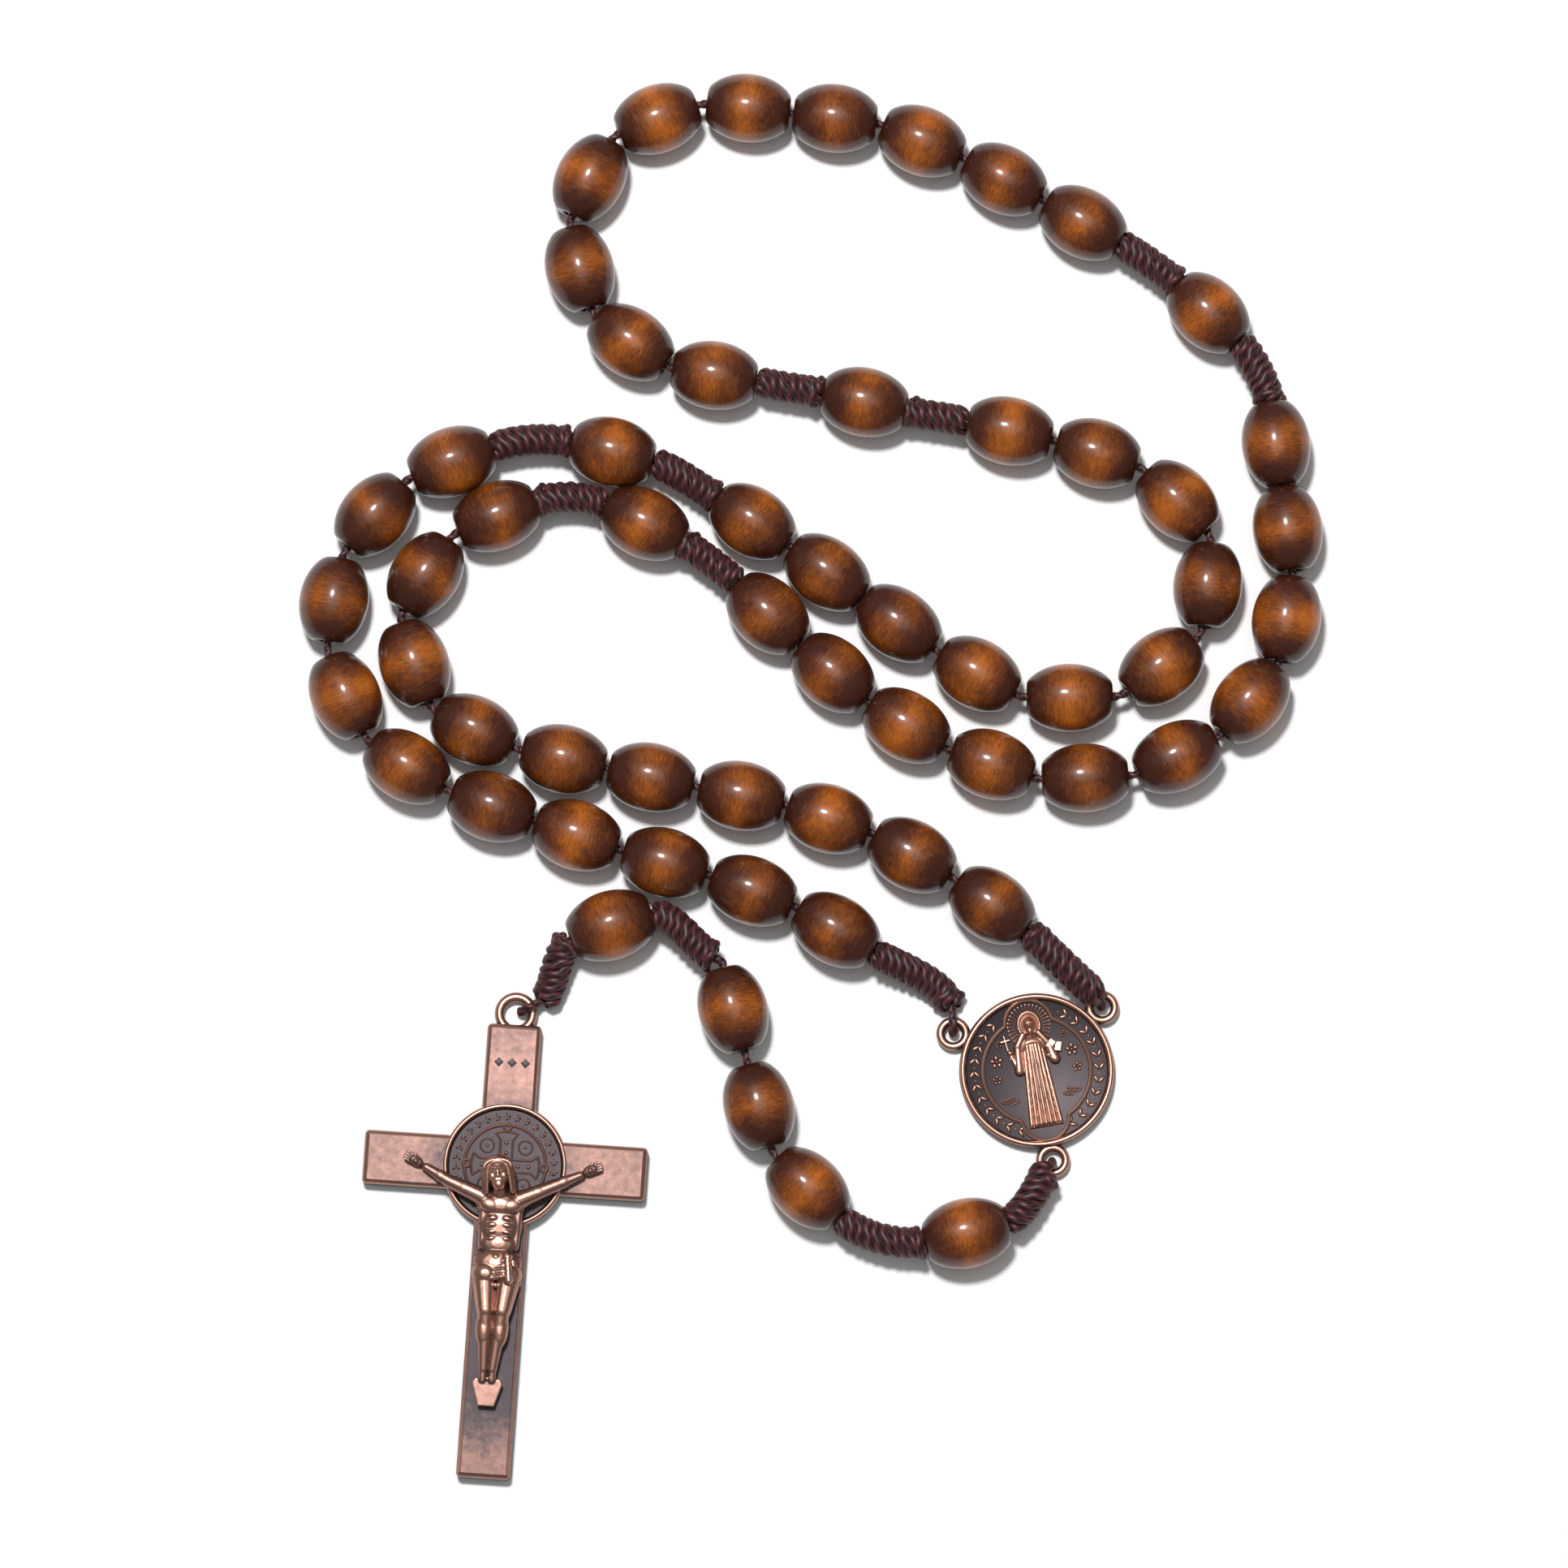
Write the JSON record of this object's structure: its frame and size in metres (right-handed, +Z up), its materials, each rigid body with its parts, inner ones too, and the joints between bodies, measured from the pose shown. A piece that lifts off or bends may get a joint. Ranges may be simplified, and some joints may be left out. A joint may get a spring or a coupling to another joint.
{
  "type": "rosary",
  "caption": "Corded wooden rosary: oval stained beads on a knotted dark cord, round copper centre medal and crucifix.",
  "frame": {"origin": "middle of the centre medal's flat back face, which lies on the table", "axes": "+Z up from the table, +Y from the crucifix end of the layout towards the far end of the loop"},
  "size_m": [0.12, 0.1656, 0.0082],
  "materials": {
    "stained_wood": "gloss varnish",
    "waxed_cord": "twisted, slight sheen",
    "antique_copper": "antique copper plating over zinc casting"
  },
  "bodies": {
    "centre_medal": {"centre_medal": "antique_copper"},
    "loop": {"loop_cord": "waxed_cord"},
    "tail_upper": {"tail_cord_upper": "waxed_cord"},
    "tail_lower": {"tail_cord_lower": "waxed_cord"},
    "crucifix": {"crucifix_cross": "antique_copper", "crucifix_figure": "antique_copper"},
    "decade_1_bead_01": {"decade_1_bead_01": "stained_wood"},
    "decade_1_bead_02": {"decade_1_bead_02": "stained_wood"},
    "decade_1_bead_03": {"decade_1_bead_03": "stained_wood"},
    "decade_1_bead_04": {"decade_1_bead_04": "stained_wood"},
    "decade_1_beads_05_06": {"decade_1_beads_05_06": "stained_wood"},
    "decade_1_bead_07": {"decade_1_bead_07": "stained_wood"},
    "decade_1_bead_08": {"decade_1_bead_08": "stained_wood"},
    "decade_1_bead_09": {"decade_1_bead_09": "stained_wood"},
    "decade_1_bead_10": {"decade_1_bead_10": "stained_wood"},
    "our_father_bead_1": {"our_father_bead_1": "stained_wood"},
    "decade_2_bead_01": {"decade_2_bead_01": "stained_wood"},
    "decade_2_bead_02": {"decade_2_bead_02": "stained_wood"},
    "decade_2_bead_03": {"decade_2_bead_03": "stained_wood"},
    "decade_2_bead_04": {"decade_2_bead_04": "stained_wood"},
    "decade_2_bead_05": {"decade_2_bead_05": "stained_wood"},
    "decade_2_bead_06": {"decade_2_bead_06": "stained_wood"},
    "decade_2_bead_07": {"decade_2_bead_07": "stained_wood"},
    "decade_2_bead_08": {"decade_2_bead_08": "stained_wood"},
    "decade_2_beads_09_10": {"decade_2_beads_09_10": "stained_wood"},
    "our_father_bead_2": {"our_father_bead_2": "stained_wood"},
    "decade_3_bead_01": {"decade_3_bead_01": "stained_wood"},
    "decade_3_bead_02": {"decade_3_bead_02": "stained_wood"},
    "decade_3_bead_03": {"decade_3_bead_03": "stained_wood"},
    "decade_3_beads_04_05": {"decade_3_beads_04_05": "stained_wood"},
    "decade_3_bead_06": {"decade_3_bead_06": "stained_wood"},
    "decade_3_bead_07": {"decade_3_bead_07": "stained_wood"},
    "decade_3_bead_08": {"decade_3_bead_08": "stained_wood"},
    "decade_3_bead_09": {"decade_3_bead_09": "stained_wood"},
    "decade_3_bead_10": {"decade_3_bead_10": "stained_wood"},
    "our_father_bead_3": {"our_father_bead_3": "stained_wood"},
    "decade_4_bead_01": {"decade_4_bead_01": "stained_wood"},
    "decade_4_bead_02": {"decade_4_bead_02": "stained_wood"},
    "decade_4_bead_03": {"decade_4_bead_03": "stained_wood"},
    "decade_4_bead_04": {"decade_4_bead_04": "stained_wood"},
    "decade_4_bead_05": {"decade_4_bead_05": "stained_wood"},
    "decade_4_bead_06": {"decade_4_bead_06": "stained_wood"},
    "decade_4_bead_07": {"decade_4_bead_07": "stained_wood"},
    "decade_4_beads_08_09": {"decade_4_beads_08_09": "stained_wood"},
    "decade_4_bead_10": {"decade_4_bead_10": "stained_wood"},
    "our_father_bead_4": {"our_father_bead_4": "stained_wood"},
    "decade_5_bead_01": {"decade_5_bead_01": "stained_wood"},
    "decade_5_bead_02": {"decade_5_bead_02": "stained_wood"},
    "decade_5_bead_03": {"decade_5_bead_03": "stained_wood"},
    "decade_5_bead_04": {"decade_5_bead_04": "stained_wood"},
    "decade_5_bead_05": {"decade_5_bead_05": "stained_wood"},
    "decade_5_beads_06_07": {"decade_5_beads_06_07": "stained_wood"},
    "decade_5_bead_08": {"decade_5_bead_08": "stained_wood"},
    "decade_5_bead_09": {"decade_5_bead_09": "stained_wood"},
    "decade_5_bead_10": {"decade_5_bead_10": "stained_wood"},
    "tail_bead_1": {"tail_bead_1": "stained_wood"},
    "tail_bead_2": {"tail_bead_2": "stained_wood"},
    "tail_bead_3": {"tail_bead_3": "stained_wood"},
    "tail_bead_4": {"tail_bead_4": "stained_wood"},
    "tail_bead_5": {"tail_bead_5": "stained_wood"}
  },
  "joints": [
    {"name": "loop_lift", "type": "hinge", "parent": "centre_medal", "child": "loop", "pos_m": [-0.00129, 0.00734, 0.0011], "axis": [0.9848, 0.1736, 0], "range_deg": [0, 100]},
    {"name": "tail_swing", "type": "hinge", "parent": "centre_medal", "child": "tail_upper", "pos_m": [0.00185, -0.01049, 0.0011], "axis": [0, 0, 1], "range_deg": [0, 80]},
    {"name": "tail_bend", "type": "hinge", "parent": "tail_upper", "child": "tail_lower", "pos_m": [-0.037, 0.01267, 0.0041], "axis": [0.6281, 0.7781, 0], "range_deg": [0, 45]},
    {"name": "crucifix_lift", "type": "hinge", "parent": "tail_lower", "child": "crucifix", "pos_m": [-0.05901, 0.00747, 0.0011], "axis": [-0.3932, 0.9195, 0], "range_deg": [0, 75]},
    {"name": "decade_1_bead_01_spin", "type": "hinge", "parent": "loop", "child": "decade_1_bead_01", "pos_m": [-0.00524, 0.01908, 0.0041], "axis": [-0.8149, 0.5797, 0], "continuous": true},
    {"name": "decade_1_bead_02_spin", "type": "hinge", "parent": "loop", "child": "decade_1_bead_02", "pos_m": [-0.01455, 0.02499, 0.0041], "axis": [-0.8727, 0.4882, 0], "continuous": true},
    {"name": "decade_1_bead_03_spin", "type": "hinge", "parent": "loop", "child": "decade_1_bead_03", "pos_m": [-0.02432, 0.02928, 0.0041], "axis": [-0.951, 0.3091, 0], "continuous": true},
    {"name": "decade_1_bead_04_spin", "type": "hinge", "parent": "loop", "child": "decade_1_bead_04", "pos_m": [-0.03449, 0.03196, 0.0041], "axis": [-0.9798, 0.1999, 0], "continuous": true},
    {"name": "decade_1_beads_05_06_spin", "type": "hinge", "parent": "loop", "child": "decade_1_beads_05_06", "pos_m": [-0.05014, 0.03522, 0.0041], "axis": [-0.9785, 0.2061, 0], "continuous": true},
    {"name": "decade_1_bead_07_spin", "type": "hinge", "parent": "loop", "child": "decade_1_bead_07", "pos_m": [-0.06574, 0.03972, 0.0041], "axis": [-0.9124, 0.4093, 0], "continuous": true},
    {"name": "decade_1_bead_08_spin", "type": "hinge", "parent": "loop", "child": "decade_1_bead_08", "pos_m": [-0.07281, 0.04758, 0.0041], "axis": [-0.3308, 0.9437, 0], "continuous": true},
    {"name": "decade_1_bead_09_spin", "type": "hinge", "parent": "loop", "child": "decade_1_bead_09", "pos_m": [-0.07157, 0.05807, 0.0041], "axis": [0.5435, 0.8394, 0], "continuous": true},
    {"name": "decade_1_bead_10_spin", "type": "hinge", "parent": "loop", "child": "decade_1_bead_10", "pos_m": [-0.06319, 0.06501, 0.0041], "axis": [0.9319, 0.3628, 0], "continuous": true},
    {"name": "our_father_bead_1_spin", "type": "hinge", "parent": "loop", "child": "our_father_bead_1", "pos_m": [-0.04584, 0.06416, 0.0041], "axis": [0.8922, -0.4516, 0], "continuous": true},
    {"name": "decade_2_bead_01_spin", "type": "hinge", "parent": "loop", "child": "decade_2_bead_01", "pos_m": [-0.0314, 0.05346, 0.0041], "axis": [0.7176, -0.6964, 0], "continuous": true},
    {"name": "decade_2_bead_02_spin", "type": "hinge", "parent": "loop", "child": "decade_2_bead_02", "pos_m": [-0.02377, 0.04645, 0.0041], "axis": [0.7551, -0.6556, 0], "continuous": true},
    {"name": "decade_2_bead_03_spin", "type": "hinge", "parent": "loop", "child": "decade_2_bead_03", "pos_m": [-0.01517, 0.04024, 0.0041], "axis": [0.8574, -0.5147, 0], "continuous": true},
    {"name": "decade_2_bead_04_spin", "type": "hinge", "parent": "loop", "child": "decade_2_bead_04", "pos_m": [-0.00523, 0.03565, 0.0041], "axis": [0.947, -0.3211, 0], "continuous": true},
    {"name": "decade_2_bead_05_spin", "type": "hinge", "parent": "loop", "child": "decade_2_bead_05", "pos_m": [0.00567, 0.03405, 0.0041], "axis": [0.9994, 0.0337, 0], "continuous": true},
    {"name": "decade_2_bead_06_spin", "type": "hinge", "parent": "loop", "child": "decade_2_bead_06", "pos_m": [0.01644, 0.03656, 0.0041], "axis": [0.9114, 0.4115, 0], "continuous": true},
    {"name": "decade_2_bead_07_spin", "type": "hinge", "parent": "loop", "child": "decade_2_bead_07", "pos_m": [0.02503, 0.04317, 0.0041], "axis": [0.6283, 0.7779, 0], "continuous": true},
    {"name": "decade_2_bead_08_spin", "type": "hinge", "parent": "loop", "child": "decade_2_bead_08", "pos_m": [0.02939, 0.05282, 0.0041], "axis": [0.1637, 0.9865, 0], "continuous": true},
    {"name": "decade_2_beads_09_10_spin", "type": "hinge", "parent": "loop", "child": "decade_2_beads_09_10", "pos_m": [0.02896, 0.06855, 0.0041], "axis": [-0.126, 0.992, 0], "continuous": true},
    {"name": "our_father_bead_2_spin", "type": "hinge", "parent": "loop", "child": "our_father_bead_2", "pos_m": [0.02046, 0.08925, 0.0041], "axis": [-0.7165, 0.6976, 0], "continuous": true},
    {"name": "decade_3_bead_01_spin", "type": "hinge", "parent": "loop", "child": "decade_3_bead_01", "pos_m": [0.00575, 0.10003, 0.0041], "axis": [-0.8654, 0.5011, 0], "continuous": true},
    {"name": "decade_3_bead_02_spin", "type": "hinge", "parent": "loop", "child": "decade_3_bead_02", "pos_m": [-0.00359, 0.10525, 0.0041], "axis": [-0.8804, 0.4742, 0], "continuous": true},
    {"name": "decade_3_bead_03_spin", "type": "hinge", "parent": "loop", "child": "decade_3_bead_03", "pos_m": [-0.01317, 0.10985, 0.0041], "axis": [-0.9206, 0.3905, 0], "continuous": true},
    {"name": "decade_3_beads_04_05_spin", "type": "hinge", "parent": "loop", "child": "decade_3_beads_04_05", "pos_m": [-0.02859, 0.11319, 0.0041], "axis": [-0.9929, 0.119, 0], "continuous": true},
    {"name": "decade_3_bead_06_spin", "type": "hinge", "parent": "loop", "child": "decade_3_bead_06", "pos_m": [-0.04442, 0.11251, 0.0041], "axis": [-0.9395, -0.3426, 0], "continuous": true},
    {"name": "decade_3_bead_07_spin", "type": "hinge", "parent": "loop", "child": "decade_3_bead_07", "pos_m": [-0.05238, 0.10537, 0.0041], "axis": [-0.4528, -0.8916, 0], "continuous": true},
    {"name": "decade_3_bead_08_spin", "type": "hinge", "parent": "loop", "child": "decade_3_bead_08", "pos_m": [-0.05357, 0.09452, 0.0041], "axis": [0.2475, -0.9689, 0], "continuous": true},
    {"name": "decade_3_bead_09_spin", "type": "hinge", "parent": "loop", "child": "decade_3_bead_09", "pos_m": [-0.04755, 0.08574, 0.0041], "axis": [0.8265, -0.5629, 0], "continuous": true},
    {"name": "decade_3_bead_10_spin", "type": "hinge", "parent": "loop", "child": "decade_3_bead_10", "pos_m": [-0.03768, 0.08178, 0.0041], "axis": [0.9876, -0.1571, 0], "continuous": true},
    {"name": "our_father_bead_3_spin", "type": "hinge", "parent": "loop", "child": "our_father_bead_3", "pos_m": [-0.02006, 0.07861, 0.0041], "axis": [0.9773, -0.2117, 0], "continuous": true},
    {"name": "decade_4_bead_01_spin", "type": "hinge", "parent": "loop", "child": "decade_4_bead_01", "pos_m": [-0.00302, 0.07515, 0.0041], "axis": [0.9779, -0.2093, 0], "continuous": true},
    {"name": "decade_4_bead_02_spin", "type": "hinge", "parent": "loop", "child": "decade_4_bead_02", "pos_m": [0.00725, 0.0725, 0.0041], "axis": [0.9575, -0.2883, 0], "continuous": true},
    {"name": "decade_4_bead_03_spin", "type": "hinge", "parent": "loop", "child": "decade_4_bead_03", "pos_m": [0.01667, 0.06685, 0.0041], "axis": [0.7141, -0.7, 0], "continuous": true},
    {"name": "decade_4_bead_04_spin", "type": "hinge", "parent": "loop", "child": "decade_4_bead_04", "pos_m": [0.02018, 0.05681, 0.0041], "axis": [-0.1046, -0.9945, 0], "continuous": true},
    {"name": "decade_4_bead_05_spin", "type": "hinge", "parent": "loop", "child": "decade_4_bead_05", "pos_m": [0.01469, 0.04717, 0.0041], "axis": [-0.7988, -0.6016, 0], "continuous": true},
    {"name": "decade_4_bead_06_spin", "type": "hinge", "parent": "loop", "child": "decade_4_bead_06", "pos_m": [0.00391, 0.04352, 0.0041], "axis": [-1, 0.0028, 0], "continuous": true},
    {"name": "decade_4_bead_07_spin", "type": "hinge", "parent": "loop", "child": "decade_4_bead_07", "pos_m": [-0.00687, 0.04634, 0.0041], "axis": [-0.8661, 0.4999, 0], "continuous": true},
    {"name": "decade_4_beads_08_09_spin", "type": "hinge", "parent": "loop", "child": "decade_4_beads_08_09", "pos_m": [-0.02028, 0.05534, 0.0041], "axis": [-0.8103, 0.586, 0], "continuous": true},
    {"name": "decade_4_bead_10_spin", "type": "hinge", "parent": "loop", "child": "decade_4_bead_10", "pos_m": [-0.0332, 0.0644, 0.0041], "axis": [-0.8352, 0.5499, 0], "continuous": true},
    {"name": "our_father_bead_4_spin", "type": "hinge", "parent": "loop", "child": "our_father_bead_4", "pos_m": [-0.04967, 0.07268, 0.0041], "axis": [-0.9703, 0.242, 0], "continuous": true},
    {"name": "decade_5_bead_01_spin", "type": "hinge", "parent": "loop", "child": "decade_5_bead_01", "pos_m": [-0.06852, 0.07148, 0.0041], "axis": [-0.9373, -0.3485, 0], "continuous": true},
    {"name": "decade_5_bead_02_spin", "type": "hinge", "parent": "loop", "child": "decade_5_bead_02", "pos_m": [-0.07752, 0.0652, 0.0041], "axis": [-0.6554, -0.7553, 0], "continuous": true},
    {"name": "decade_5_bead_03_spin", "type": "hinge", "parent": "loop", "child": "decade_5_bead_03", "pos_m": [-0.08224, 0.055, 0.0041], "axis": [-0.1631, -0.9866, 0], "continuous": true},
    {"name": "decade_5_bead_04_spin", "type": "hinge", "parent": "loop", "child": "decade_5_bead_04", "pos_m": [-0.08082, 0.04375, 0.0041], "axis": [0.4061, -0.9138, 0], "continuous": true},
    {"name": "decade_5_bead_05_spin", "type": "hinge", "parent": "loop", "child": "decade_5_bead_05", "pos_m": [-0.07361, 0.03541, 0.0041], "axis": [0.8526, -0.5226, 0], "continuous": true},
    {"name": "decade_5_beads_06_07_spin", "type": "hinge", "parent": "loop", "child": "decade_5_beads_06_07", "pos_m": [-0.05867, 0.02901, 0.0041], "axis": [0.9466, -0.3224, 0], "continuous": true},
    {"name": "decade_5_bead_08_spin", "type": "hinge", "parent": "loop", "child": "decade_5_bead_08", "pos_m": [-0.04339, 0.02412, 0.0041], "axis": [0.9629, -0.2699, 0], "continuous": true},
    {"name": "decade_5_bead_09_spin", "type": "hinge", "parent": "loop", "child": "decade_5_bead_09", "pos_m": [-0.03319, 0.02082, 0.0041], "axis": [0.9385, -0.3452, 0], "continuous": true},
    {"name": "decade_5_bead_10_spin", "type": "hinge", "parent": "loop", "child": "decade_5_bead_10", "pos_m": [-0.02348, 0.01619, 0.0041], "axis": [0.8605, -0.5095, 0], "continuous": true},
    {"name": "tail_bead_1_spin", "type": "hinge", "parent": "tail_upper", "child": "tail_bead_1", "pos_m": [-0.00831, -0.01919, 0.0041], "axis": [-0.9773, -0.2118, 0], "continuous": true},
    {"name": "tail_bead_2_spin", "type": "hinge", "parent": "tail_upper", "child": "tail_bead_2", "pos_m": [-0.02674, -0.01396, 0.0041], "axis": [-0.7231, 0.6907, 0], "continuous": true},
    {"name": "tail_bead_3_spin", "type": "hinge", "parent": "tail_upper", "child": "tail_bead_3", "pos_m": [-0.03243, -0.00438, 0.0041], "axis": [-0.2549, 0.967, 0], "continuous": true},
    {"name": "tail_bead_4_spin", "type": "hinge", "parent": "tail_upper", "child": "tail_bead_4", "pos_m": [-0.03545, 0.00691, 0.0041], "axis": [-0.2613, 0.9653, 0], "continuous": true},
    {"name": "tail_bead_5_spin", "type": "hinge", "parent": "tail_lower", "child": "tail_bead_5", "pos_m": [-0.04971, 0.01673, 0.0041], "axis": [-0.9496, -0.3136, 0], "continuous": true}
  ]
}
